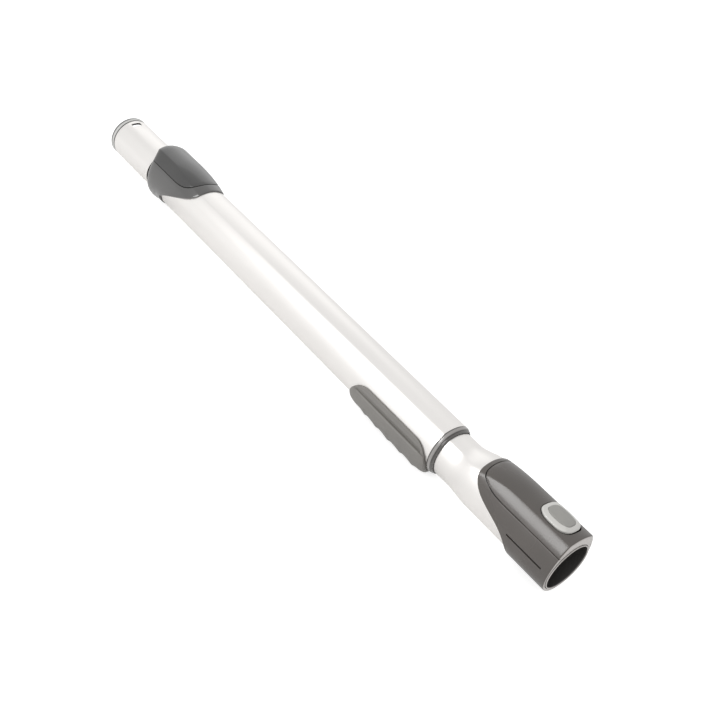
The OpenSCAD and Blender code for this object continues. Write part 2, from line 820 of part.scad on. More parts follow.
button_a = button_len / 2;
button_b = button_w / 2;
button_crown = 23;
button_arch = 40;
pad_a = button_a * 0.73;
pad_b = button_b * 0.67;
button_top = handle_top + button_rise;
button_under = handle_top - panel_wall - 0.35;
lever_wall = 1.3;
pad_depth = 1.5;

module button_hole() {
    translate([button_x, 0, handle_top - 8]) linear_extrude(16) {
        button_outline(button_a + 0.35, button_b + 0.35);
        intersection() {
            translate([0.7, 0]) button_outline(button_a + 0.35, button_b + 0.35);
            translate([0, -20]) square(40);
        }
    }
}

// Block whose top is at height z, rounded across the wand and along it
module crown(z, across_r, along_r) {
    intersection() {
        translate([-20, 0, z - across_r]) rotate([0, 90, 0]) cylinder(r = across_r, h = 40, $fn = 240);
        translate([0, 20, z - along_r]) rotate([90, 0, 0]) cylinder(r = along_r, h = 40, $fn = 240);
    }
}

module button_frame() {
    color("silver") translate([button_x, 0, 0]) difference() {
        intersection() {
            translate([0, 0, button_under]) linear_extrude(10) button_outline(button_a, button_b);
            crown(button_top, button_crown, button_arch);
        }
        translate([0, 0, button_top - pad_depth]) linear_extrude(5) button_outline(pad_a, pad_b);
    }
}

module button_pad() {
    color("gray") translate([button_x, 0, 0]) intersection() {
        translate([0, 0, button_top - pad_depth + eps]) linear_extrude(5)
            button_outline(pad_a - 0.12, pad_b - 0.12);
        crown(button_top - 0.1, 45, 60);
    }
}

module latch_lever() {
    tip_z = button_under - lever_wall - 1.6;
    color("gray") difference() {
        union() {
            // Arm under the button, arm over the hook, the hook and the hub between them
            box([pin_x - hub_r, button_x + button_a - 3], [-latch_w / 2, latch_w / 2],
                [button_under - lever_wall, button_under]);
            box([hook_x - 1.2, pin_x], [-latch_w / 2, latch_w / 2], [tip_z, tip_z + lever_wall]);
            box([hook_x - 0.7, hook_x + 0.7], [-latch_w / 2 + 0.5, latch_w / 2 - 0.5],
                [socket_r - 0.9, tip_z + 0.5]);
            translate([pin_x, 0, pin_z]) rotate([90, 0, 0]) cylinder(r = hub_r, h = latch_w, center = true);
        }
        translate([pin_x, 0, pin_z]) rotate([90, 0, 0])
            cylinder(r = pin_r + 0.05, h = 30, center = true);
    }
}

module latch_pin() {
    color("silver") translate([pin_x, 0, pin_z]) rotate([90, 0, 0])
        cylinder(r = pin_r, h = latch_w + 5, center = true);
}

module latch_spring() {
    z0 = sleeve_r + 0.05;
    color("silver") translate([pin_x + 8, 0, z0]) coil(2.2, 0.25, button_under - lever_wall - z0 - 0.05, 2);
}

spigot_end_ring();
spigot_tube();
spigot_adapter();
outer_tube();
nozzle_cover_shell();
nozzle_cover_panel();
nozzle_cover_screw();
collar_bush();
collar_seal();
lock_base();
release_grip();
grip_spring();
lock_tooth();
inner_tube();
guide_bush();
guide_seal();
socket_stop();
socket_sleeve();
handle_shell();
handle_panel();
handle_screw();
latch_pin();
latch_spring();
button_frame();
button_pad();
latch_lever();
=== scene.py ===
"""Telescopic vacuum wand: the visible pieces, their finishes and a plain studio."""

import json
import math

import bmesh
import bpy
from mathutils import Matrix, Vector


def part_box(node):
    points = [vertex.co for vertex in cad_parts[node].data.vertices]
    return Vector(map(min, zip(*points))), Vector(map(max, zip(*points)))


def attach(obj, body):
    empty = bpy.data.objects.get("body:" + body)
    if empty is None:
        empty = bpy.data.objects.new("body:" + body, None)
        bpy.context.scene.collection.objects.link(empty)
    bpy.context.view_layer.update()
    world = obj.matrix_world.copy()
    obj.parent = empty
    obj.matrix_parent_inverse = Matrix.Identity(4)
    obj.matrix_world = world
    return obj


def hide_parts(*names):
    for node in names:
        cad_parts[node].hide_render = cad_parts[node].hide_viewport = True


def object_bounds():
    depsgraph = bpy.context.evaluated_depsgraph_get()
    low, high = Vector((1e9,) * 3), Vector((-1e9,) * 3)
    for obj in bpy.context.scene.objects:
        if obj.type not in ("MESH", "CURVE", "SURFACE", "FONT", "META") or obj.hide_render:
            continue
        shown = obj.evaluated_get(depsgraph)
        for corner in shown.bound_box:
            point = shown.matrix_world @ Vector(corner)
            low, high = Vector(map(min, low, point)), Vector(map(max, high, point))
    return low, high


bl_info = {
    "name": "Vacuum Wand",
    "version": (1, 0, 0),
    "blender": (4, 5, 0),
    "location": "3D View > Sidebar > Wand",
    "description": "Builds a telescopic vacuum wand around its packed model",
    "category": "Add Mesh",
}

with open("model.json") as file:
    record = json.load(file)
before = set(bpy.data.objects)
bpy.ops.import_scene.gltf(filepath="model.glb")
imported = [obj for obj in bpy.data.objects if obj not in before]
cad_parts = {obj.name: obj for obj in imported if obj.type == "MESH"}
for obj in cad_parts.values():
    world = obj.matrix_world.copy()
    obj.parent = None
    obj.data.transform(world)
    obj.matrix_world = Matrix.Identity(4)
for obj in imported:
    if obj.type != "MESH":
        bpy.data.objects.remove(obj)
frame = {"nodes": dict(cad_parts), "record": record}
CAD_BOX = [list(corner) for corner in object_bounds()]
MM = 0.001


def box_mm(node):
    """Lowest and highest corner of a CAD node, in millimetres."""
    low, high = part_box(node)
    return [c / MM for c in low], [c / MM for c in high]


WAND_END = box_mm("handle_shell")[1][0]
COVER_END = box_mm("nozzle_cover_shell")[1][0]
OUTER_X = [box_mm("outer_tube")[i][0] for i in (0, 1)]
INNER_X = [box_mm("inner_tube")[i][0] for i in (0, 1)]
COLLAR_X = box_mm("collar_bush")[1][0]
GRIP_X = [box_mm("release_grip")[0][0], box_mm("release_grip")[1][0] - 1.6]
GRIP_LOW = -box_mm("release_grip")[0][2]
HANDLE_X = WAND_END - 80.5
COVER_X = COVER_END - 71
STEEL_END = WAND_END - 32
RING_W = 5.5
SLEEVE_END = box_mm("socket_sleeve")[1][0]


# Sizes and colours that a user would change


class WandSizes(bpy.types.PropertyGroup):
    """Sizes of the visible pieces, in millimetres."""

    wall: bpy.props.FloatProperty(
        name="Steel wall", description="Wall of the steel tubes, in mm", default=0.8, min=0.4, max=1.5
    )
    crease: bpy.props.FloatProperty(
        name="Crease radius", description="Rounding of the long creases, in mm", default=0.8, min=0.2, max=2.0
    )
    seam: bpy.props.FloatProperty(
        name="Seam gap", description="Gap between a shell and its panel, in mm", default=0.6, min=0.1, max=0.8
    )
    rim: bpy.props.FloatProperty(
        name="Rim radius", description="Rounding of the moulded rims, in mm", default=0.45, min=0.1, max=0.6
    )
    ridge: bpy.props.FloatProperty(
        name="Ridge depth", description="Depth of the finger hollows, in mm", default=1.2, min=0.3, max=1.3
    )


def colour_prop(name, value):
    return bpy.props.FloatVectorProperty(
        name=name,
        description=f"Colour of the {name.lower()}, as the screen shows it",
        subtype="COLOR",
        size=3,
        min=0.0,
        max=1.0,
        default=value,
    )


class WandColours(bpy.types.PropertyGroup):
    """Colours of the finishes, as the screen shows them."""

    steel: colour_prop("Steel", (0.958, 0.948, 0.937))
    cover: colour_prop("Cover plastic", (0.312, 0.294, 0.28))
    far_cover: colour_prop("Nozzle cover plastic", (0.28, 0.276, 0.272))
    far_panel: colour_prop("Nozzle panel plastic", (0.17, 0.168, 0.165))
    # The collar's light colour and its darker edge colour paint a highlight on the bead and shade on its edges and in
    # its groove.
    collar: colour_prop("Collar plastic", (0.54, 0.53, 0.52))
    collar_edge_shade: colour_prop("Collar edges", (0.27, 0.26, 0.25))
    grip: colour_prop("Grip plastic", (0.465, 0.455, 0.44))
    ring: colour_prop("End ring plastic", (0.73, 0.73, 0.72))
    # The end ring's darker lips are painted shade.
    ring_lip_shade: colour_prop("End ring lips", (0.38, 0.38, 0.375))
    button: colour_prop("Button frame", (0.76, 0.755, 0.74))
    pad: colour_prop("Button pad", (0.57, 0.565, 0.55))
    # The light mouth rim colour is a painted highlight on the handle's end face and on the socket sleeve's lip.
    mouth_highlight: colour_prop("Mouth rim", (0.72, 0.7, 0.685))
    inner: colour_prop("Inner plastic", (0.2, 0.195, 0.19))
    rubber: colour_prop("Seal rubber", (0.07, 0.07, 0.07))


def sizes():
    return bpy.context.scene.wand_sizes


def colours():
    return bpy.context.scene.wand_colours


# Sections across the wand


def mix(a, b, t):
    if isinstance(a, (list, tuple)):
        return [mix(p, q, t) for p, q in zip(a, b)]
    return a * (1 - t) + b * t


def clamp(t):
    return min(1.0, max(0.0, t))


def smooth(t):
    t = clamp(t)
    return t * t * (3 - 2 * t)


def grow(s, d):
    return [s[0] + d, s[1], s[2], s[3], s[4] + d, s[5] + d, s[6]]


# half width, chin, drop, flank offset, top, crown radius, extra softness of the crease
TUBE = [18.0, 1.0, 3.3, 6.0, 19.8, 24.0, 0.0]
INNER = grow(TUBE, -2.4)
FLARE = [18.6, 0.1, 0.2, 16.0, 21.8, 30.0, 2.5]
COVER = [20.3, 0.4, 2.2, 13.0, 25.35, 32.0, 0.0]
HANDLE = [19.8, 0.4, 2.1, 15.2, 25.65, 34.0, 0.0]
NOSE = [19.4, 0.4, 1.2, 15.6, 22.4, 31.0, 3.0]
FLARE_X = (WAND_END - 99, WAND_END - 77)
COVER_SEAM_Z = 13.5
HANDLE_SEAM_Z = 13.6
COLUMNS = {"crown": 10, "crease": 4, "high": 8, "low": 10, "bottom": 22, "pocket": 4}
POCKET_HALF = 4.6
SEAM = COLUMNS["crown"] + COLUMNS["crease"] + COLUMNS["high"]
LOWEST = SEAM + COLUMNS["low"] + COLUMNS["bottom"] + COLUMNS["pocket"]
AROUND = 2 * LOWEST


def flank_z(s):
    return -s[2] + math.sqrt(s[1] ** 2 + 2 * s[3] * s[1])


def outline(s, seam_z=COVER_SEAM_Z):
    """Section as (y, z) points: from the top over +Y to the bottom, and back over -Y."""
    half_w, chin, drop, flank, top, crown, extra = s
    z_top, z_flank = top - crown, flank_z(s)
    r_flank, r_bottom = half_w + flank, half_w - chin
    d = math.hypot(flank, z_top - z_flank)
    a = (r_flank**2 - crown**2 + d * d) / (2 * d)
    h = math.sqrt(r_flank**2 - a * a)
    cy = -flank + (a * flank - h * (z_top - z_flank)) / d
    cz = z_flank + (a * (z_top - z_flank) + h * flank) / d
    soft = sizes().crease + extra
    a_top = math.atan2(cz - z_top, cy) + soft / crown
    a_crease = math.atan2(cz - z_flank, cy + flank) - soft / r_flank
    a_seam = min(math.asin(min(1.0, (seam_z - z_flank) / r_flank)), a_crease - 0.01)
    a_low = math.atan2(-drop - z_flank, flank)
    a_pocket = -math.acos(POCKET_HALF / r_bottom)
    half = []

    def on_arc(centre, r, q):
        return centre[0] + r * math.cos(q), centre[1] + r * math.sin(q)

    def arc(centre, r, start, end, count, ease=1.0):
        for i in range(count):
            half.append(on_arc(centre, r, mix(start, end, 1 - (1 - i / count) ** ease)))

    arc((0, z_top), crown, math.pi / 2, a_top, COLUMNS["crown"])
    before, after = on_arc((0, z_top), crown, a_top), on_arc((-flank, z_flank), r_flank, a_crease)
    for i in range(COLUMNS["crease"]):
        t = i / COLUMNS["crease"]
        half.append(tuple(mix(mix(before, (cy, cz), t), mix((cy, cz), after, t), t)))
    arc((-flank, z_flank), r_flank, a_crease, a_seam, COLUMNS["high"], 1.35)
    arc((-flank, z_flank), r_flank, a_seam, a_low, COLUMNS["low"])
    arc((0, -drop), r_bottom, a_low, a_pocket, COLUMNS["bottom"])
    arc((0, -drop), r_bottom, a_pocket, -math.pi / 2, COLUMNS["pocket"])
    half.append((0.0, -drop - r_bottom))
    return half + [(-y, z) for y, z in reversed(half[1:-1])]


def ring(x, s, seam_z=COVER_SEAM_Z):
    return [(x, y, z) for y, z in outline(s, seam_z)]


# Meshes


def grid(rows, closed_around=True, closed_along=False, hole=None, in_shade=None):
    """Bmesh of a skin through rows; hole(i, j) leaves out, and the last test marks, the face after column i and row
    j; a marked face takes the second material, painted shade.
    """
    cols, count = len(rows[0]), len(rows)
    across = cols if closed_around else cols - 1
    along = count if closed_along else count - 1
    bm = bmesh.new()
    bmesh.ops.create_grid(bm, x_segments=across, y_segments=along, size=1)

    def place(c):
        return (c.x + 1) / 2 * across, (c.y + 1) / 2 * along

    def cell(face):
        return (int(q) for q in place(face.calc_center_median()))

    if hole:
        bmesh.ops.delete(bm, geom=[f for f in bm.faces if hole(*cell(f))], context="FACES")
    # Faces that pass the last test take the second material: painted shade.
    if in_shade:
        for f in bm.faces:
            f.material_index = int(in_shade(*cell(f)))
    for v in bm.verts:
        i, j = (round(q) for q in place(v.co))
        v.co = Vector(rows[j % count][i % cols])
    bmesh.ops.remove_doubles(bm, verts=bm.verts, dist=0.002)
    return bm


def spun(profile, segments=128):
    """Bmesh of a closed (x, r) profile turned about the wand's axis."""
    bm = bmesh.new()
    verts = [bm.verts.new((x, 0, r)) for x, r in profile]
    edges = [bm.edges.new((a, b)) for a, b in zip(verts, verts[1:] + verts[:1])]
    bmesh.ops.spin(
        bm, geom=verts + edges, cent=(0, 0, 0), axis=(1, 0, 0), angle=2 * math.pi, steps=segments, use_merge=True
    )
    bmesh.ops.remove_doubles(bm, verts=bm.verts, dist=0.002)
    return bm


def drop_faces(bm, test):
    """Removes the faces whose centre, in millimetres, passes the test."""
    gone = [f for f in bm.faces if test(f.calc_center_median())]
    bmesh.ops.delete(bm, geom=gone, context="FACES")


def bevel_edges(bm, test, width, segments=3):
    """Rounds the edges whose middle passes the test."""
    chosen = [e for e in bm.edges if test(e)]
    bmesh.ops.bevel(
        bm,
        geom=chosen,
        offset=width,
        offset_type="OFFSET",
        segments=segments,
        profile=0.5,
        affect="EDGES",
        material=-1,
        clamp_overlap=True,
    )


def wall(bm, thickness):
    """Gives a skin a wall on its inner side."""
    bmesh.ops.recalc_face_normals(bm, faces=bm.faces)
    centre_out = sum(
        f.normal.dot(Vector((0, f.calc_center_median().y, f.calc_center_median().z))) * f.calc_area()
        for f in bm.faces
    )
    if centre_out < 0:
        bmesh.ops.reverse_faces(bm, faces=bm.faces)
    bmesh.ops.solidify(bm, geom=bm.faces[:], thickness=thickness)


def round_rims(bm, width, where=None, angle=50):
    """Rounds the sharp outward edges that pass the test."""
    limit = math.radians(angle)
    bmesh.ops.recalc_face_normals(bm, faces=bm.faces)

    def sharp(e):
        if len(e.link_faces) != 2 or e.calc_face_angle(0) < limit or not e.is_convex:
            return False
        return where is None or where((e.verts[0].co + e.verts[1].co) / 2)

    bevel_edges(bm, sharp, width, 3)


def finish_piece(name, bm, body, material, replaces=(), sharp=38, shade_finish=None):
    """Turns a bmesh in millimetres into a piece that rides on a body."""
    bmesh.ops.remove_doubles(bm, verts=bm.verts, dist=0.001)
    bmesh.ops.recalc_face_normals(bm, faces=bm.faces)
    bmesh.ops.scale(bm, vec=(MM, MM, MM), verts=bm.verts)
    mesh = bpy.data.meshes.new(name)
    bm.to_mesh(mesh)
    bm.free()
    mesh.polygons.foreach_set("use_smooth", [True] * len(mesh.polygons))
    mesh.set_sharp_from_angle(angle=math.radians(sharp))
    piece = bpy.data.objects.new(name, mesh)
    bpy.context.scene.collection.objects.link(piece)
    piece.data.materials.append(material)
    # The second material paints shade on the faces with index 1: inside the spigot and on the pocket floors under the
    # panel seams.
    if shade_finish:
        piece.data.materials.append(shade_finish)
    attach(piece, body)
    if replaces:
        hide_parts(*replaces)
    return piece


# Materials


def linear(c):
    return tuple(v / 12.92 if v <= 0.04045 else ((v + 0.055) / 1.055) ** 2.4 for v in c) + (1.0,)


class Recipe:
    """A node material with short calls to add its nodes."""

    def __init__(self, name):
        self.material = bpy.data.materials.new(name)
        self.material.use_nodes = True
        self.tree = self.material.node_tree
        self.shader = self.tree.nodes["Principled BSDF"]
        self.coords = self.add("ShaderNodeTexCoord").outputs["Object"]

    def add(self, kind, **values):
        node = self.tree.nodes.new(kind)
        for key, value in values.items():
            if hasattr(node, key):
                setattr(node, key, value)
            else:
                node.inputs[key.replace("_", " ")].default_value = value
        return node

    def link(self, a, b):
        self.tree.links.new(a, b)

    def noise(self, scale, detail=3.0, stretch=(1, 1, 1), rough=0.5):
        mapping = self.add("ShaderNodeMapping")
        mapping.inputs["Scale"].default_value = stretch
        self.link(self.coords, mapping.inputs["Vector"])
        node = self.add("ShaderNodeTexNoise", Scale=scale, Detail=detail, Roughness=rough)
        self.link(mapping.outputs["Vector"], node.inputs["Vector"])
        return node.outputs["Fac"]

    def ranged(self, value, low, high, start=0.0, end=1.0):
        node = self.add("ShaderNodeMapRange")
        node.inputs["From Min"].default_value = start
        node.inputs["From Max"].default_value = end
        node.inputs["To Min"].default_value = low
        node.inputs["To Max"].default_value = high
        self.link(value, node.inputs["Value"])
        return node.outputs["Result"]

    def blend(self, factor, a, b):
        node = self.add("ShaderNodeMix", data_type="RGBA")
        if isinstance(a, bpy.types.NodeSocket):
            self.link(a, node.inputs[6])
        else:
            node.inputs[6].default_value = a
        node.inputs[7].default_value = b
        self.link(factor, node.inputs[0])
        return node.outputs[2]

    def bump(self, height, strength, distance):
        node = self.add("ShaderNodeBump", Strength=strength, Distance=distance)
        self.link(height, node.inputs["Height"])
        self.link(node.outputs["Normal"], self.shader.inputs["Normal"])

    def set(self, **values):
        for key, value in values.items():
            self.shader.inputs[key.replace("_", " ")].default_value = value


def shade(colour, factor):
    c = linear(colour)
    return tuple(min(1.0, v * factor) for v in c[:3]) + (1.0,)


def steel(name, colour, roughness=0.3):
    """Satin steel with a fine grain along the wand and faint handling marks."""
    r = Recipe(name)
    r.set(Metallic=1.0)
    grain = r.noise(260, 2.0, (0.05, 1, 1))
    marks = r.noise(22, 4.0, (0.35, 1, 1))
    r.link(r.blend(r.ranged(marks, 0, 1, 0.42, 0.62), shade(colour, 0.975), shade(colour, 1.0)), r.shader.inputs["Base Color"])
    r.link(r.ranged(grain, roughness - 0.03, roughness + 0.04), r.shader.inputs["Roughness"])
    r.bump(grain, 0.05, 0.00005)
    return r.material


def plastic(name, colour, roughness=0.35, grain=0.12, scale=900, coat=0.0, spread=0.05, ends=None, end_painted_light=None):
    """Moulded plastic with a fine skin and a little colour drift, in another tone outside the x range of ends; that
    tone is painted light, a highlight at the mouth rims and shade on the collar's and end ring's edges.
    """
    r = Recipe(name)
    r.set(IOR=1.5, Coat_Weight=coat, Coat_Roughness=0.12)
    drift = r.noise(35, 3.0)
    skin = r.noise(scale, 2.0)
    tone = r.blend(r.ranged(drift, 0, 1, 0.35, 0.65), shade(colour, 1 - spread), shade(colour, 1 + spread))
    # Past the x range of ends the tone changes to painted light: lighter as a highlight, darker as shade.
    if ends:
        axes = r.add("ShaderNodeSeparateXYZ")
        r.link(r.coords, axes.inputs[0])
        either = r.add("ShaderNodeMath", operation="MAXIMUM")
        for k, (x, low, high) in enumerate(((ends[0], 1, 0), (ends[1], 0, 1))):
            r.link(r.ranged(axes.outputs["X"], low, high, (x - 0.15) * MM, (x + 0.15) * MM), either.inputs[k])
        tone = r.blend(either.outputs[0], tone, shade(end_painted_light, 1))
    r.link(tone, r.shader.inputs["Base Color"])
    r.link(r.ranged(drift, roughness - 0.03, roughness + 0.05, 0.3, 0.7), r.shader.inputs["Roughness"])
    r.bump(skin, grain, 0.00008)
    return r.material


FINISHES = {}


def finish(name):
    """The named finish, made once."""
    if name not in FINISHES:
        c = colours()
        makers = {
            "tube_steel": lambda: steel("tube_steel", c.steel, 0.36),
            "seam_shadow": lambda: plastic("seam_shadow", (0.09, 0.088, 0.085), 0.7),
            # Darker steel for the faces inside the spigot: painted shade inside the tube.
            "tube_inside_shade": lambda: steel("tube_inside_shade", (0.3, 0.295, 0.29), 0.55),
            "small_steel": lambda: steel("small_steel", (0.8, 0.8, 0.79), 0.35),
            # The handle's end face takes the light mouth colour: a painted highlight.
            "cover_plastic": lambda: plastic("cover_plastic", c.cover, 0.26, 0.05, 1200, 0.3, 0.05, (-1, WAND_END - 0.28), c.mouth_highlight),
            "far_cover_plastic": lambda: plastic("far_cover_plastic", c.far_cover, 0.3, 0.05, 1200, 1.0),
            "far_panel_plastic": lambda: plastic("far_panel_plastic", c.far_panel, 0.3, 0.05, 1200, 1.0),
            # Lighter bead crown and darker edges and groove: painted highlight and painted shade.
            "collar_plastic": lambda: plastic(
                "collar_plastic", c.collar, 0.25, 0.04, 900, 1.0, 0.03, (OUTER_X[1] + 0.9, OUTER_X[1] + 2.9), c.collar_edge_shade
            ),
            "grip_plastic": lambda: plastic("grip_plastic", c.grip, 0.42, 0.15, 1500),
            # Darker lips on the end ring: painted shade.
            "ring_plastic": lambda: plastic("ring_plastic", c.ring, 0.3, 0.05, 900, 0.3, 0.03, (2.4, RING_W - 0.8), c.ring_lip_shade),
            "button_plastic": lambda: plastic("button_plastic", c.button, 0.22, 0.03, 900, 0.5, 0.02),
            "pad_plastic": lambda: plastic("pad_plastic", c.pad, 0.5, 0.2, 1800),
            # The socket sleeve's lip takes the light mouth colour: a painted highlight.
            "inner_plastic": lambda: plastic("inner_plastic", c.inner, 0.3, 0.05, 900, 0.3, 0.05, (-1, SLEEVE_END - 0.6), c.mouth_highlight),
            "seal_rubber": lambda: plastic("seal_rubber", c.rubber, 0.6, 0.25),
        }
        FINISHES[name] = makers[name]()
    return FINISHES[name]


# Pieces


class WAND_OT_spigot(bpy.types.Operator):
    """The round nozzle spigot with its end ring and latch slot"""

    bl_idname = "wand.spigot"
    bl_label = "Nozzle spigot"

    def execute(self, context):
        r, lip, bore = 18.0, 1.2, 15.8
        quarter = [math.radians(15 * i) for i in range(7)]
        turn = [(lip - lip * math.cos(a), r - lip + lip * math.sin(a)) for a in quarter]
        inner_r = r - sizes().wall - 0.1
        profile = [(0.0, bore + 0.6), *turn, (RING_W - 1.15, r), (RING_W - 0.75, r - 0.14), (RING_W - 0.55, r - 0.5)]
        profile += [(RING_W - 0.55, inner_r), (RING_W + 3.5, inner_r), (RING_W + 3.5, bore), (0.6, bore)]
        profile += [(0.17, bore + 0.17)]
        finish_piece("end_ring", spun(profile), "outer", finish("ring_plastic"), ["spigot_end_ring"], 50)

        start, slot_x, slot_half, slot_turn, sides = RING_W + 0.35, (9.6, 13.8), 5, 3, 128
        turns = [2 * math.pi * i / sides for i in range(sides)]
        stations = [(start, r - 0.35), (start + 0.1, r - 0.12), (start + 0.4, r), (slot_x[0], r), (slot_x[1], r)]
        stations += [(30.0, r), (COVER_X + 3, r)]
        bm = grid([[(x, q * math.sin(a), q * math.cos(a)) for a in turns] for x, q in stations])
        step = 2 * math.pi / sides

        def in_slot(c):
            return slot_x[0] < c.x < slot_x[1] and abs(math.atan2(c.y, c.z) / step + slot_turn) < slot_half

        drop_faces(bm, in_slot)
        wall(bm, sizes().wall)
        round_rims(bm, 0.15, lambda c: slot_x[0] - 1 < c.x < slot_x[1] + 1)
        # Faces turned towards the axis take the darker steel: painted shade inside the spigot.
        for f in bm.faces:
            c = f.calc_center_median()
            f.material_index = int(f.normal.y * c.y + f.normal.z * c.z < 0)
        finish_piece("spigot", bm, "outer", finish("tube_steel"), ["spigot_tube"], 38, finish("tube_inside_shade"))
        return {"FINISHED"}


class WAND_OT_tubes(bpy.types.Operator):
    """The outer and the inner steel tube, with the row of lock pockets"""

    bl_idname = "wand.tubes"
    bl_label = "Steel tubes"

    def execute(self, context):
        low, high = OUTER_X
        bm = grid([ring(mix(low, high, i / 8), TUBE) for i in range(9)])
        wall(bm, sizes().wall)
        finish_piece("outer_tube_skin", bm, "outer", finish("tube_steel"), ["outer_tube"])

        pitch, last, half_len = 12.0, GRIP_X[1] - 32.4, 3.2
        pockets = [last - pitch * k for k in range(25)]
        xs = sorted([INNER_X[0], *[p - half_len for p in pockets], *[p + half_len for p in pockets]])
        xs += [425, 440, FLARE_X[0]] + [mix(*FLARE_X, i / 12) for i in range(1, 13)] + [495, 511, INNER_X[1] - 7]
        rings = []
        for x in xs:
            t = smooth((x - FLARE_X[0]) / (FLARE_X[1] - FLARE_X[0]))
            rings.append(ring(x, mix(INNER, FLARE, t)))
        bm = grid(rings)
        window = [f for f in bm.faces if f.calc_center_median().x > 511.5 and self.on_top(f)]
        bmesh.ops.delete(bm, geom=window, context="FACES")
        bm.faces.ensure_lookup_table()
        for p in pockets:
            floor = [
                f
                for f in bm.faces
                if abs(f.calc_center_median().x - p) < 1
                and abs(f.calc_center_median().y) < POCKET_HALF
                and f.calc_center_median().z < 0
            ]
            bmesh.ops.inset_region(bm, faces=floor, thickness=0.45, depth=0.0, use_even_offset=True)
            moved = {v for f in floor for v in f.verts}
            bmesh.ops.translate(bm, vec=(0, 0, 1.4), verts=list(moved))
        wall(bm, sizes().wall)
        finish_piece("inner_tube_skin", bm, "inner", finish("tube_steel"), ["inner_tube"])
        return {"FINISHED"}

    @staticmethod
    def on_top(face):
        c = face.calc_center_median()
        return c.z > 0 and abs(c.y) < 5.6


# Columns of a shell, each with whether it lies in the pocket for the panel
SHELL = [(i, True) for i in range(SEAM + 1)]
SHELL += [(i, False) for i in range(SEAM, AROUND - SEAM + 1)]
SHELL += [(i, True) for i in range(AROUND - SEAM, AROUND)]
PANEL = [i % AROUND for i in range(AROUND - SEAM, AROUND + SEAM + 1)]


def in_pocket(n):
    """Whether the shell's face after entry n is part of the pocket's floor."""
    return SHELL[n][1] and SHELL[(n + 1) % len(SHELL)][1]


def is_panel(column):
    return column <= SEAM or column >= AROUND - SEAM


def settle(along, section_of, column, seam_z, tries=5):
    """x where a column of a changing section meets the curve x = along(z)."""
    x = along(10.0)
    for _ in range(tries):
        x = along(outline(section_of(x), seam_z)[column][1])
    return x


def fixed(curve, section_of, seam_z):
    """x of an edge curve for every column, worked out once."""
    return [settle(curve, section_of, i, seam_z) for i in range(AROUND)]


def onto(r, point):
    """The point, moved in or out to the radius r."""
    d = math.hypot(*point)
    return point[0] * r / d, point[1] * r / d


def outside(r, point):
    return point if math.hypot(*point) >= r else onto(r, point)


def outer_of(a, b):
    return a if math.hypot(*a) > math.hypot(*b) else b


# Nozzle cover

NOSE_SPAN = 20.0


def cover_far(z):
    return COVER_X + 5 * (1 - (1 - clamp((COVER[4] - z) / (COVER[4] + 1.5))) ** 4)


def cover_near(z):
    return mix(COVER_X + 23, COVER_END, smooth((z + 15) / 34)) + 3 * smooth((-8 - z) / 6)


def cover_at(x):
    """Section of the cover: the underside draws in early, the crown only along the tail."""
    t = clamp((x - COVER_END + 42) / 42) ** 1.9
    u = clamp((x - COVER_X - 9) / 11) ** 1.5
    chin = mix(COVER[1], 0.05, u)
    drop = math.sqrt(chin**2 + 2 * COVER[3] * chin) - flank_z(COVER)
    return mix([COVER[0], chin, drop, *COVER[3:]], grow(TUBE, 0.8), t)


def cover_nose(z, d=0.0):
    """Near end of the panel, where its seam turns up over the top, grown by d."""
    middle, high = COVER_END - 27, COVER[4] - COVER_SEAM_Z
    t = clamp((COVER[4] - z) / (high + d))
    return middle + (NOSE_SPAN + d) * math.sqrt(1 - t * t)


SHOULDER = [(0.0, 3.2), (0.12, 2.7), (0.5, 2.05), (1.0, 1.5), (1.7, 1.0), (2.7, 0.55), (4.2, 0.2), (7.0, 0.0)]


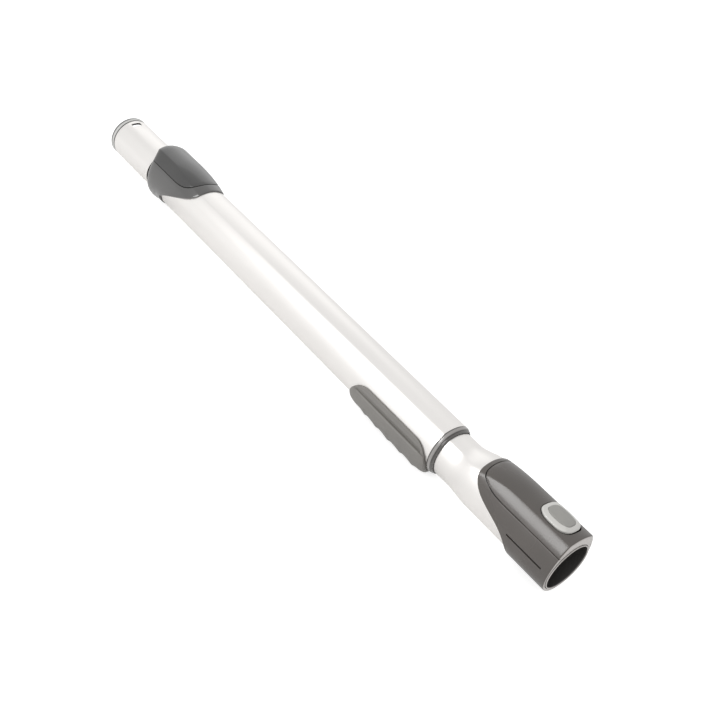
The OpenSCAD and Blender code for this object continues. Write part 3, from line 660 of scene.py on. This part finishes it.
class WAND_OT_nozzle_cover(bpy.types.Operator):
    """The shell and the top panel of the nozzle cover"""

    bl_idname = "wand.nozzle_cover"
    bl_label = "Nozzle cover"

    def execute(self, context):
        seam_z, gap, hole_r = COVER_SEAM_Z, sizes().seam, 18.05
        far = [cover_far(z) for y, z in outline(COVER, seam_z)]
        near = fixed(cover_near, cover_at, seam_z)
        nose = fixed(cover_nose, cover_at, seam_z)
        start = [x + SHOULDER[-1][0] for x in far]
        cut = [nose[i] if is_panel(i) else min(COVER_END - 27, near[i] - 3) for i in range(AROUND)]
        over_tube, bed = outline(grow(TUBE, 0.6), seam_z), outline(grow(TUBE, 0.1), seam_z)
        ends = [outline(cover_at(near[i]), seam_z)[i] for i in range(AROUND)]
        bed = [bed[i] if is_panel(i) else on_tube(ends[i], 0.1) for i in range(AROUND)]

        def surface(x, i, inset=0.0):
            return outline(grow(cover_at(x), -inset), seam_z)[i]

        def floor(x, i, inset=0.0):
            return over_tube[i] if x > OUTER_X[0] else outside(hole_r, surface(x, i, inset + 1.9))

        front = outline(grow(COVER, -SHOULDER[0][1]), seam_z)
        rows = [[(far[i], *onto(hole_r, front[i])) for i, _ in SHELL]]
        for dx, inset in SHOULDER:
            side = outline(grow(COVER, -inset), seam_z)
            rows.append(
                [(far[i] + dx, *(floor(far[i] + dx, i, inset) if p else outside(hole_r, side[i]))) for i, p in SHELL]
            )
        for k in range(1, 11):
            xs = [mix(start[i], cut[i], k / 10) for i in range(AROUND)]
            rows.append([(xs[i], *(floor if p else surface)(xs[i], i)) for i, p in SHELL])
        for k in range(9):
            xs = [mix(cut[i], near[i] - 0.4, k / 8) for i in range(AROUND)]
            rows.append([(xs[i], *surface(xs[i], i)) for i, _ in SHELL])
        for back, inset in ((0.12, 0.1), (0.0, 0.35)):
            rows.append([(near[i] - back, *surface(near[i], i, inset)) for i, _ in SHELL])
        shelf = COVER_X + 6.6
        rows.append([(near[i], *bed[i]) for i, _ in SHELL])
        rows.append([(mix(near[i], shelf, 0.5), *bed[i]) for i, _ in SHELL])
        rows.append([(shelf, *bed[i]) for i, _ in SHELL])
        rows.append([(shelf, *onto(hole_r, bed[i])) for i, _ in SHELL])
        # The pocket floor under the panel's seam takes the seam shadow finish: painted shade in the gap.
        pocket_rows = range(1, len(SHOULDER) + 10)
        bm = grid(rows, closed_along=True, in_shade=lambda i, j: j in pocket_rows and in_pocket(i))
        last = COVER_END - 6.9
        round_rims(bm, sizes().rim, lambda c: c.z > seam_z - 0.1 and COVER_X + 5 < c.x < last)
        plastic_of = finish("far_cover_plastic")
        finish_piece(
            "nozzle_cover", bm, "outer", plastic_of, ["nozzle_cover_shell"], 38, finish("seam_shadow")
        )

        seam_z += gap
        nose = fixed(lambda z: cover_nose(z, -gap), cover_at, seam_z)
        rows = []
        for dx, inset in SHOULDER:
            side = outline(grow(COVER, -inset), seam_z)
            rows.append([(far[i] + dx, *outside(hole_r + 0.2, side[i])) for i in PANEL])
        for k in range(1, 15):
            xs = [mix(start[i], nose[i], k / 14) for i in range(AROUND)]
            rows.append([(xs[i], *outline(cover_at(xs[i]), seam_z)[i]) for i in PANEL])
        bm = grid(rows, closed_around=False)
        wall(bm, 1.5)
        round_rims(bm, sizes().rim)
        far_panel = finish("far_panel_plastic")
        finish_piece("nozzle_cover_top", bm, "outer", far_panel, ["nozzle_cover_panel"])
        return {"FINISHED"}


class WAND_OT_collar(bpy.types.Operator):
    """The rounded collar at the end of the outer tube"""

    bl_idname = "wand.collar"
    bl_label = "Collar"

    def execute(self, context):
        low, high = OUTER_X[1] + 0.1, COLLAR_X
        lip, inside = grow(INNER, 0.5), grow(INNER, 0.3)
        bead = [(0.0, 0.3), (0.1, 0.1), (0.4, 0.0), (1.3, 0.02), (2.1, 0.12), (2.7, 0.35), (3.0, 0.75), (3.15, 1.1)]
        bead += [(3.4, 1.15), (3.6, 0.95), (3.9, 0.86), (4.3, 0.95), (4.65, 1.25), (4.85, 1.6)]
        rows = [ring(low + dx, grow(TUBE, -inset)) for dx, inset in bead] + [ring(high, lip)]
        rows += [ring(high - 0.5, inside), ring(low - 27, inside)]
        rows += [ring(low - 27, grow(TUBE, -0.9)), ring(low - 0.1, grow(TUBE, -0.9)), ring(low, grow(TUBE, -0.5))]
        bm = grid(rows, closed_along=True)
        finish_piece("collar", bm, "outer", finish("collar_plastic"), ["collar_bush"], 50)
        return {"FINISHED"}


# Release grip

EDGE_Z, STEP_Z, GRIP_HALF, GRIP_DEPTH = 3.4, -3.0, 20.1, 26.7
GROOVE_Z = (-0.5, -4.1)
RIDGE_PITCH = 13.5
POWER = 0.91


def grip_edge(x):
    """Height of the grip's upper edge at x."""
    for centre, radius, way in ((GRIP_X[0], 18.0, 1), (GRIP_X[1], 14.5, -1)):
        u = way * (x - centre)
        if u < radius:
            return EDGE_Z - 17 * (1 - math.sqrt(max(0.0, 1 - (1 - u / radius) ** 2)))
    return EDGE_Z


def grip_floor(x):
    """Flat underside with its rounded toe at the collar end."""
    u = clamp((GRIP_X[1] - x) / 16)
    return -GRIP_LOW + 7.0 * (1 - math.sqrt(1 - (1 - u) ** 2))


def grip_bulge(x):
    return clamp((x - GRIP_X[0]) / 46) ** 0.3 * clamp((GRIP_X[1] - x) / 9) ** 0.4


def ridge(x):
    u = (x - GRIP_X[0] - 17.4) / RIDGE_PITCH
    f = u - math.floor(u)
    on = smooth((u + 0.9) / 0.6) * smooth((4.8 - u) / 0.6)
    wave = math.sin(math.radians(300 * f)) if f < 0.3 else math.cos(math.radians(90 * (f - 0.3) / 0.7))
    return sizes().ridge * on * wave


def tube_side(z, d):
    """Half width of the outer tube's flank, grown by d, at height z."""
    return -TUBE[3] + math.sqrt((TUBE[0] + TUBE[3] + d) ** 2 - (z - flank_z(TUBE)) ** 2)


def on_tube(point, d):
    """Point of the outer tube, grown by d, seen from the middle of its bottom arc towards the point."""
    centre, side = Vector((0.0, -TUBE[2])), math.copysign(1, point[0])
    way = (Vector((abs(point[0]), point[1])) - centre).normalized()
    if math.atan2(way.y, way.x) < math.atan2(-TUBE[2] - flank_z(TUBE), TUBE[3]):
        y, z = centre + way * (TUBE[0] - TUBE[1] + d)
        return side * y, z
    off = centre - Vector((-TUBE[3], flank_z(TUBE)))
    b = off.dot(way)
    y, z = centre + way * (math.sqrt(b * b - off.length_squared + (TUBE[0] + TUBE[3] + d) ** 2) - b)
    return side * y, z


class WAND_OT_grip(bpy.types.Operator):
    """The sliding release grip under the outer tube"""

    bl_idname = "wand.grip"
    bl_label = "Release grip"

    def execute(self, context):
        low, high = GRIP_X
        xs = [low + d for d in (0.25, 0.7, 1.4, 2.4, 3.6, 5.0, 6.0, 6.4, 8.0, 9.6)]
        while xs[-1] < high - 9:
            xs.append(xs[-1] + RIDGE_PITCH / 14)
        xs += [high - d for d in (8.2, 7.2, 6.4, 6.0, 5.0, 4.0, 3.0, 2.1, 1.4, 0.8, 0.35) if high - d > xs[-1] + 0.2]
        rows = []
        for x in xs:
            outer = self.profile(x)
            inner = [on_tube(p, 0.3) for p in outer]
            if x in (xs[0], xs[-1]):
                end = low if x == xs[0] else high
                cap = [[(end, *mix(b, a, share)) for a, b in zip(outer, inner)] for share in (0.0, 0.75)]
                bed = [(end, *b) for b in inner]
                cap = [self.around(c, bed) for c in cap]
            row = self.around([(x, *a) for a in outer], [(x, *b) for b in inner])
            rows += [*cap, row] if x == xs[0] else [row]
        rows += reversed(cap)
        bm = grid(rows)
        finish_piece("grip", bm, "grip", finish("grip_plastic"), ["release_grip"], 34)
        return {"FINISHED"}

    @staticmethod
    def around(outer, inner):
        """Closed row: outside from +Y round to -Y, and back along the inside."""
        over = [outer, inner]
        both = [half + [(x, -y, z) for x, y, z in reversed(half[:-1])] for half in over]
        return both[0] + both[1][::-1]

    @staticmethod
    def profile(x):
        """Outer half profile from the upper edge down to the underside."""
        edge, w = grip_edge(x), mix(18.3, GRIP_HALF, grip_bulge(x))
        depth = mix(20.5, GRIP_DEPTH, grip_bulge(x)) - ridge(x) + STEP_Z
        top, low = (min(z, edge - 0.3) for z in GROOVE_Z)

        def body(z):
            share = clamp((STEP_Z - z) / depth) ** (1 / POWER)
            return w * (1 - share**2) ** (POWER / 2)

        inside = smooth((x - GRIP_X[0] - 6) / 0.8) * smooth((GRIP_X[1] - 6 - x) / 0.8)
        if edge < GROOVE_Z[1]:
            points = [(body(edge), edge)] * 16
        else:
            points = [(tube_side(edge - dz, d), edge - dz) for d, dz in ((0.5, 0), (1.1, 0), (1.32, 0.1), (1.4, 0.3))]
            rim = min(edge - 0.3, top)
            points += [(tube_side(z, 1.4), z) for z in (mix(edge - 0.3, rim, k / 5) for k in range(1, 6))]
            for share, d in ((0.3, 0.3), (0.55, 0.75), (0.8, 0.95), (1.0, 0.95)):
                z = mix(rim, low, share)
                points.append((tube_side(z, 1.4 - d * inside), z))
            points += [(body(low - dz * inside) - d * inside, low - dz * inside) for d, dz in ((1.25, 0), (0.6, 0.3), (0.2, 0.8))]
        low -= 1.5 * inside
        reach = math.asin(clamp((STEP_Z - low) / depth) ** (1 / POWER))
        for k in range(41):
            a = mix(reach, math.pi / 2, k / 40)
            z = STEP_Z - depth * math.sin(a) ** POWER
            points.append((w * max(0.0, math.cos(a)) ** POWER, max(z, grip_floor(x))))
        return points


# Handle


def handle_edge(z):
    """Leading edge, far forward at the top and steepest just above the axis."""
    return HANDLE_X + 47 * (0.5 - 1.2 * math.atan((z - 3) / 6.6) / math.pi)


def handle_at(x):
    return mix(NOSE, HANDLE, 1 - (1 - clamp((x - HANDLE_X) / 35)) ** 2.2)


def handle_nose(z, d=0.0):
    """Leading end of the panel, grown by d."""
    x0, span, high = HANDLE_X + 4, 24.0, HANDLE[4] - HANDLE_SEAM_Z
    t = clamp((HANDLE[4] - z) / (high + d))
    return x0 + span - (span + d) * math.sqrt(1 - t * t)


MOUTH = ((0.75, 0.05), (0.4, 0.18), (0.15, 0.4), (0.0, 0.7))
BUTTON_HOLE = (WAND_END - 20 + 0.35, 13.7, 10.75)


class WAND_OT_handle(bpy.types.Operator):
    """The shell and the top panel of the handle, with the slits in its sides"""

    bl_idname = "wand.handle"
    bl_label = "Handle"

    def execute(self, context):
        self.shell()
        self.panel()
        return {"FINISHED"}

    def shell(self):
        seam_z, end, hole_r = HANDLE_SEAM_Z, WAND_END, 19.05
        edge = fixed(handle_edge, handle_at, seam_z)
        nose = fixed(handle_nose, handle_at, seam_z)
        cut = [nose[i] if is_panel(i) else max(HANDLE_X + 28, edge[i] + 3) for i in range(AROUND)]
        bed, over_steel = outline(grow(FLARE, 0.12), seam_z), outline(grow(FLARE, 0.3), seam_z)

        def surface(x, i, inset=0.0):
            return outline(grow(handle_at(x), -inset), seam_z)[i]

        def floor(x, i):
            deep = 3.8 * smooth((x - end + 40) / 4) * smooth((end - 2.5 - x) / 2)
            under = outside(hole_r + 0.3, surface(x, i, 2.2 + deep))
            return outer_of(under, over_steel[i]) if x < STEEL_END + 1 else under

        rows = [[(edge[i] + 0.25, *bed[i]) for i, _ in SHELL]]
        for dx, share in ((0.0, 0.4), (0.05, 0.65), (0.2, 0.86), (0.5, 0.97), (0.9, 1.0)):
            rows.append([(edge[i] + dx, *mix(bed[i], surface(edge[i] + dx, i), share)) for i, _ in SHELL])
        for k in range(1, 11):
            xs = [mix(edge[i] + 0.9, cut[i], k / 10) for i in range(AROUND)]
            rows.append([(xs[i], *surface(xs[i], i)) for i, _ in SHELL])
        for k in range(15):
            xs = [mix(cut[i], end - 1.2, k / 14) for i in range(AROUND)]
            rows.append([(xs[i], *(floor if p else surface)(xs[i], i)) for i, p in SHELL])
        for dx, inset in MOUTH:
            rows.append(
                [(end - dx, *(floor(end, i) if p else outside(hole_r + 0.05, surface(end, i, inset)))) for i, p in SHELL]
            )
        rows.append([(end, *onto(hole_r, surface(end, i))) for i, _ in SHELL])
        rows.append([(end - 4, *onto(hole_r, surface(end, i))) for i, _ in SHELL])
        rows.append([(STEEL_END + 0.6, *onto(hole_r, surface(end, i))) for i, _ in SHELL])
        rows.append([(STEEL_END + 0.4, *bed[i]) for i, _ in SHELL])
        rows.append([(min(edge[i] + 4, mix(edge[i], STEEL_END, 0.6)), *bed[i]) for i, _ in SHELL])
        # The pocket floor under the panel's seam takes the seam shadow finish: painted shade in the gap.
        bm = grid(rows, closed_along=True, in_shade=lambda i, j: 15 < j < 31 and in_pocket(i))
        self.cut_slits(bm)
        round_rims(bm, sizes().rim, lambda c: c.z > seam_z - 0.1 and HANDLE_X + 3 < c.x < end - 2)
        finish_piece(
            "handle", bm, "inner", finish("cover_plastic"), ["handle_shell"], 38, finish("seam_shadow")
        )

    @staticmethod
    def cut_slits(bm):
        """A slit through each side, just above the axis."""
        ends, middle, half = (WAND_END - 38, WAND_END - 6.5), 0.1, 0.6
        planes = [((x, 0, 0), (1, 0, 0)) for x in ends]
        planes += [((0, 0, z), (0, 0, 1)) for z in (middle - half, middle + half)]
        for co, no in planes:
            faces = [f for f in bm.faces if all(abs(v.co.z) < 6 and abs(v.co.y) > 15 for v in f.verts)]
            geom = faces + list({e for f in faces for e in f.edges}) + list({v for f in faces for v in f.verts})
            bmesh.ops.bisect_plane(bm, geom=geom, dist=0.0001, plane_co=co, plane_no=no)
        drop_faces(bm, lambda c: ends[0] < c.x < ends[1] and abs(c.z - middle) < half and abs(c.y) > 15)
        for side in (-1, 1):
            rim = [e for e in bm.edges if e.is_boundary and side * e.verts[0].co.y > 0]
            bmesh.ops.bridge_loops(bm, edges=rim)

    def panel(self):
        gap, end = sizes().seam, WAND_END
        seam_z = HANDLE_SEAM_Z + gap
        nose = fixed(lambda z: handle_nose(z, -gap), handle_at, seam_z)
        middle, a, b = BUTTON_HOLE
        reach, steps = (18.4, end - 2.3 - middle), 8
        rows = []
        for k in range(13):
            xs = [mix(nose[i], middle - reach[0] - 3, k / 12) for i in range(AROUND)]
            rows.append([(xs[i], *outline(handle_at(xs[i]), seam_z)[i]) for i in PANEL])
        first_hole = len(rows) + steps // 2
        flat, side = outline(HANDLE, seam_z), COLUMNS["crown"] - 1
        for j in range(-steps * 3 // 2, steps * 3 // 2 + 1):
            u = j / steps
            row = []
            for n, i in enumerate(PANEL):
                x = math.copysign(a * min(abs(u), 1) + (reach[u > 0] - a) * max(0, 2 * abs(u) - 2), u)
                y = flat[i][0]
                v = (n - SEAM) / side
                s = max(abs(u), abs(v), 0.01)
                share = clamp((s - 1) / 0.5) if abs(v) <= 1 else 1.0
                if share == 1:
                    row.append((middle + x, *flat[i]))
                    continue
                p, q = u / s, v / s
                x = mix(a * self.squircle(p, q) * min(s, 1), x, share)
                y = mix(b * self.squircle(q, p) * min(s, 1), y, share)
                row.append((middle + x, y, HANDLE[4] - HANDLE[5] + math.sqrt(HANDLE[5] ** 2 - y * y)))
            rows.append(row)
        for dx, inset in ((1.2, 0.0), *MOUTH, (0.0, 1.4), (0.0, 2.15)):
            rim = outline(grow(HANDLE, -inset), seam_z)
            rows.append([(end - dx, *rim[i]) for i in PANEL])
        inner = range(first_hole, first_hole + 2 * steps)
        bm = grid(rows, closed_around=False, hole=lambda i, j: j in inner and SEAM - side <= i < SEAM + side)
        wall(bm, 2.25)
        round_rims(bm, sizes().rim, lambda c: c.x < end - 1.5)
        finish_piece("handle_top", bm, "inner", finish("cover_plastic"), ["handle_panel"])

    @staticmethod
    def squircle(p, q, power=0.68):
        """One coordinate of the rounded outline for a point (p, q) on the rim of a unit square."""
        corner = 0.5 ** (power / 2)
        if abs(p) < abs(q):
            return corner * p / abs(q)
        return math.copysign((1 - (corner * abs(q)) ** (2 / power)) ** (power / 2), p)


class WAND_OT_socket(bpy.types.Operator):
    """The sleeve of the hose socket, seen in the open end of the handle"""

    bl_idname = "wand.socket"
    bl_label = "Hose socket"

    def execute(self, context):
        low, high = box_mm("socket_sleeve")[0][0], box_mm("socket_sleeve")[1][0]
        r_out, r_in = 18.9, 17.6
        profile = [(low, r_out - 0.1), (high - 1.2, r_out - 0.1), (high - 1.0, r_out - 0.25), (high - 0.35, r_out - 0.3)]
        profile += [(high - 0.1, r_out - 0.4), (high, r_out - 0.62), (high - 0.05, r_out - 0.8)]
        profile += [(high - 0.5, r_in + 0.2), (high - 1.4, r_in), (low, r_in)]
        finish_piece("socket", spun(profile), "inner", finish("inner_plastic"), ["socket_sleeve"], 50)
        return {"FINISHED"}


class WAND_OT_button(bpy.types.Operator):
    """The frame and the pad of the hose button"""

    bl_idname = "wand.button"
    bl_label = "Hose button"

    def execute(self, context):
        centre, a, b, under = WAND_END - 20, 13.0, 10.3, HANDLE[4] - 2.35
        pad = (9.49, 6.9)
        sides = 96
        top, across, along = HANDLE[4] + 2.2, 23.0, 40.0

        def crown(x, y, z, r_across, r_along):
            over = z - r_across + math.sqrt(r_across**2 - y * y)
            return min(over, z - r_along + math.sqrt(r_along**2 - x * x))

        def loop(a, b, drop, flat=None, dome=None):
            row = []
            for i in range(sides):
                t = 2 * math.pi * i / sides
                x = a * math.copysign(abs(math.cos(t)) ** 0.68, math.cos(t))
                y = b * math.copysign(abs(math.sin(t)) ** 0.68, math.sin(t))
                z = flat if flat is not None else crown(x, y, *(dome or (top, across, along))) - drop
                row.append((centre + x, y, z))
            return row

        rows = [loop(a - inset, b - inset, 0, under + rise) for inset, rise in ((1.2, 0), (0.6, 0), (0.5, 0.15), (0, 2))]
        for inset, drop in ((0.0, 0.9), (0.03, 0.6), (0.12, 0.32), (0.3, 0.12), (0.6, 0.02), (1.1, 0.0)):
            rows.append(loop(a - inset, b - inset, drop))
        for t in (0.35, 0.65, 0.88):
            rows.append(loop(mix(a - 1.1, pad[0] + 0.3, t), mix(b - 1.1, pad[1] + 0.3, t), 0.0))
        for inset, drop in ((0.12, 0.04), (0.0, 0.2), (0.0, 1.45)):
            rows.append(loop(pad[0] + inset, pad[1] + inset, drop))
        bm = grid(rows)
        bmesh.ops.holes_fill(bm, edges=[e for e in bm.edges if e.is_boundary], sides=0)
        finish_piece("button_rim", bm, "button", finish("button_plastic"), ["button_frame"], 50)

        dome = (top - 0.1, 45.0, 60.0)
        pa, pb = pad[0] - 0.1, pad[1] - 0.1
        rows = [loop(pa, pb, 1.3, None, dome), loop(pa, pb, 0.35, None, dome), loop(pa - 0.06, pb - 0.06, 0.16, None, dome)]
        rows += [loop(pa - 0.22, pb - 0.22, 0.04, None, dome), loop(pa - 0.5, pb - 0.5, 0.0, None, dome)]
        rows += [loop(pa * k, pb * k, 0.0, None, dome) for k in (0.8, 0.62, 0.45, 0.28, 0.1)]
        bm = grid(rows)
        bmesh.ops.holes_fill(bm, edges=[e for e in bm.edges if e.is_boundary], sides=0)
        finish_piece("button_face", bm, "button", finish("pad_plastic"), ["button_pad"], 50)
        return {"FINISHED"}


class WAND_OT_works(bpy.types.Operator):
    """Finishes for the works inside: bushes, seals, springs, screws and latch"""

    bl_idname = "wand.works"
    bl_label = "Works inside"

    def execute(self, context):
        slots = {row["node"]: row["material_slot"] for row in frame["record"]["subparts"]}
        for name, node in frame["nodes"].items():
            if node.hide_render:
                continue
            node.data.materials.clear()
            node.data.materials.append(finish(slots[name]))
        return {"FINISHED"}


# Studio


def lamp(name, place, aim, size, power):
    data = bpy.data.lights.new(name, "AREA")
    data.shape = "RECTANGLE"
    data.size, data.size_y = size
    data.energy = power
    obj = bpy.data.objects.new(name, data)
    bpy.context.scene.collection.objects.link(obj)
    obj.location = place
    obj.rotation_euler = (Vector(aim) - Vector(place)).to_track_quat("-Z", "Y").to_euler()
    return obj


class WAND_OT_stage(bpy.types.Operator):
    """A pale floor, soft lamps, a white surround and the camera"""

    bl_idname = "wand.stage"
    bl_label = "Studio"

    def execute(self, context):
        scene = context.scene
        scene.view_settings.view_transform = "Standard"
        self.floor(scene)
        self.world(scene)
        lamp("side", (0.14, -0.96, 0.48), (0.5, 0, 0), (0.6, 0.45), 5)
        lamp("back", (-0.64, 0.5, 0.54), (0.1, 0, 0), (1.1, 0.7), 0.75)
        self.camera(scene)
        return {"FINISHED"}

    def floor(self, scene):
        bm = bmesh.new()
        bmesh.ops.create_grid(bm, x_segments=2, y_segments=2, size=6)
        bmesh.ops.translate(bm, vec=(0.28, 0, CAD_BOX[0][2] - 0.0002), verts=bm.verts)
        mesh = bpy.data.meshes.new("floor")
        bm.to_mesh(mesh)
        bm.free()
        floor = bpy.data.objects.new("floor", mesh)
        scene.collection.objects.link(floor)
        r = Recipe("floor_paper")
        r.set(Base_Color=(0.7, 0.7, 0.7, 1), Roughness=0.9)
        r.shader.inputs["Specular IOR Level"].default_value = 0.0
        glow = r.add("ShaderNodeEmission", Strength=1.0)
        path = r.add("ShaderNodeLightPath")
        r.link(r.ranged(path.outputs["Is Camera Ray"], 0.2, 0.66), glow.inputs["Strength"])
        both = r.add("ShaderNodeAddShader")
        r.link(r.shader.outputs[0], both.inputs[0])
        r.link(glow.outputs[0], both.inputs[1])
        r.link(both.outputs[0], r.tree.nodes["Material Output"].inputs["Surface"])
        floor.data.materials.append(r.material)

    def world(self, scene):
        world = bpy.data.worlds.new("surround")
        scene.world = world
        world.use_nodes = True
        tree = world.node_tree
        back = tree.nodes["Background"]
        back.inputs["Color"].default_value = (1, 1, 1, 1)
        path = tree.nodes.new("ShaderNodeLightPath")
        seen = tree.nodes.new("ShaderNodeMath")
        seen.operation = "MAXIMUM"
        tree.links.new(path.outputs["Is Camera Ray"], seen.inputs[0])
        tree.links.new(path.outputs["Is Transmission Ray"], seen.inputs[1])
        level = tree.nodes.new("ShaderNodeMapRange")
        level.inputs["To Min"].default_value = 0.85
        level.inputs["To Max"].default_value = 1.0
        tree.links.new(seen.outputs[0], level.inputs["Value"])
        tree.links.new(level.outputs["Result"], back.inputs["Strength"])

    def camera(self, scene):
        data = bpy.data.cameras.new("camera")
        data.sensor_width = 36.0
        data.lens = 1070.0 / 702.0 * 36.0
        data.clip_start, data.clip_end = 0.01, 50.0
        camera = bpy.data.objects.new("camera", data)
        scene.collection.objects.link(camera)
        right = Vector((0.61036, 0.72793, 0.31237))
        up = Vector((-0.59972, 0.16703, 0.78259))
        back = Vector((0.51750, -0.66499, 0.53850))
        turn = Matrix((right, up, back)).transposed().to_4x4()
        camera.matrix_world = Matrix.Translation((0.7375, -0.5279, 0.4298)) @ turn
        scene.camera = camera


STEPS = ("spigot", "tubes", "nozzle_cover", "collar", "grip", "handle", "socket", "button", "works", "stage")


class WAND_PT_panel(bpy.types.Panel):
    """Lists the wand's sizes, colours and pieces"""

    bl_idname = "WAND_PT_panel"
    bl_label = "Vacuum Wand"
    bl_space_type = "VIEW_3D"
    bl_region_type = "UI"
    bl_category = "Wand"

    def draw(self, context):
        for group in (context.scene.wand_sizes, context.scene.wand_colours):
            for key in group.__annotations__:
                self.layout.prop(group, key)
        for step in STEPS:
            self.layout.operator(f"wand.{step}")


CLASSES = (
    WandSizes,
    WandColours,
    WAND_OT_spigot,
    WAND_OT_tubes,
    WAND_OT_nozzle_cover,
    WAND_OT_collar,
    WAND_OT_grip,
    WAND_OT_handle,
    WAND_OT_socket,
    WAND_OT_button,
    WAND_OT_works,
    WAND_OT_stage,
    WAND_PT_panel,
)


def register():
    for cls in CLASSES:
        bpy.utils.register_class(cls)
    bpy.types.Scene.wand_sizes = bpy.props.PointerProperty(type=WandSizes)
    bpy.types.Scene.wand_colours = bpy.props.PointerProperty(type=WandColours)


def unregister():
    del bpy.types.Scene.wand_colours
    del bpy.types.Scene.wand_sizes
    for cls in reversed(CLASSES):
        bpy.utils.unregister_class(cls)


def main():
    register()
    for step in STEPS:
        if getattr(bpy.ops.wand, step)() != {"FINISHED"}:
            raise RuntimeError(f"the step {step} didn't finish")


if __name__ == "__main__":
    main()
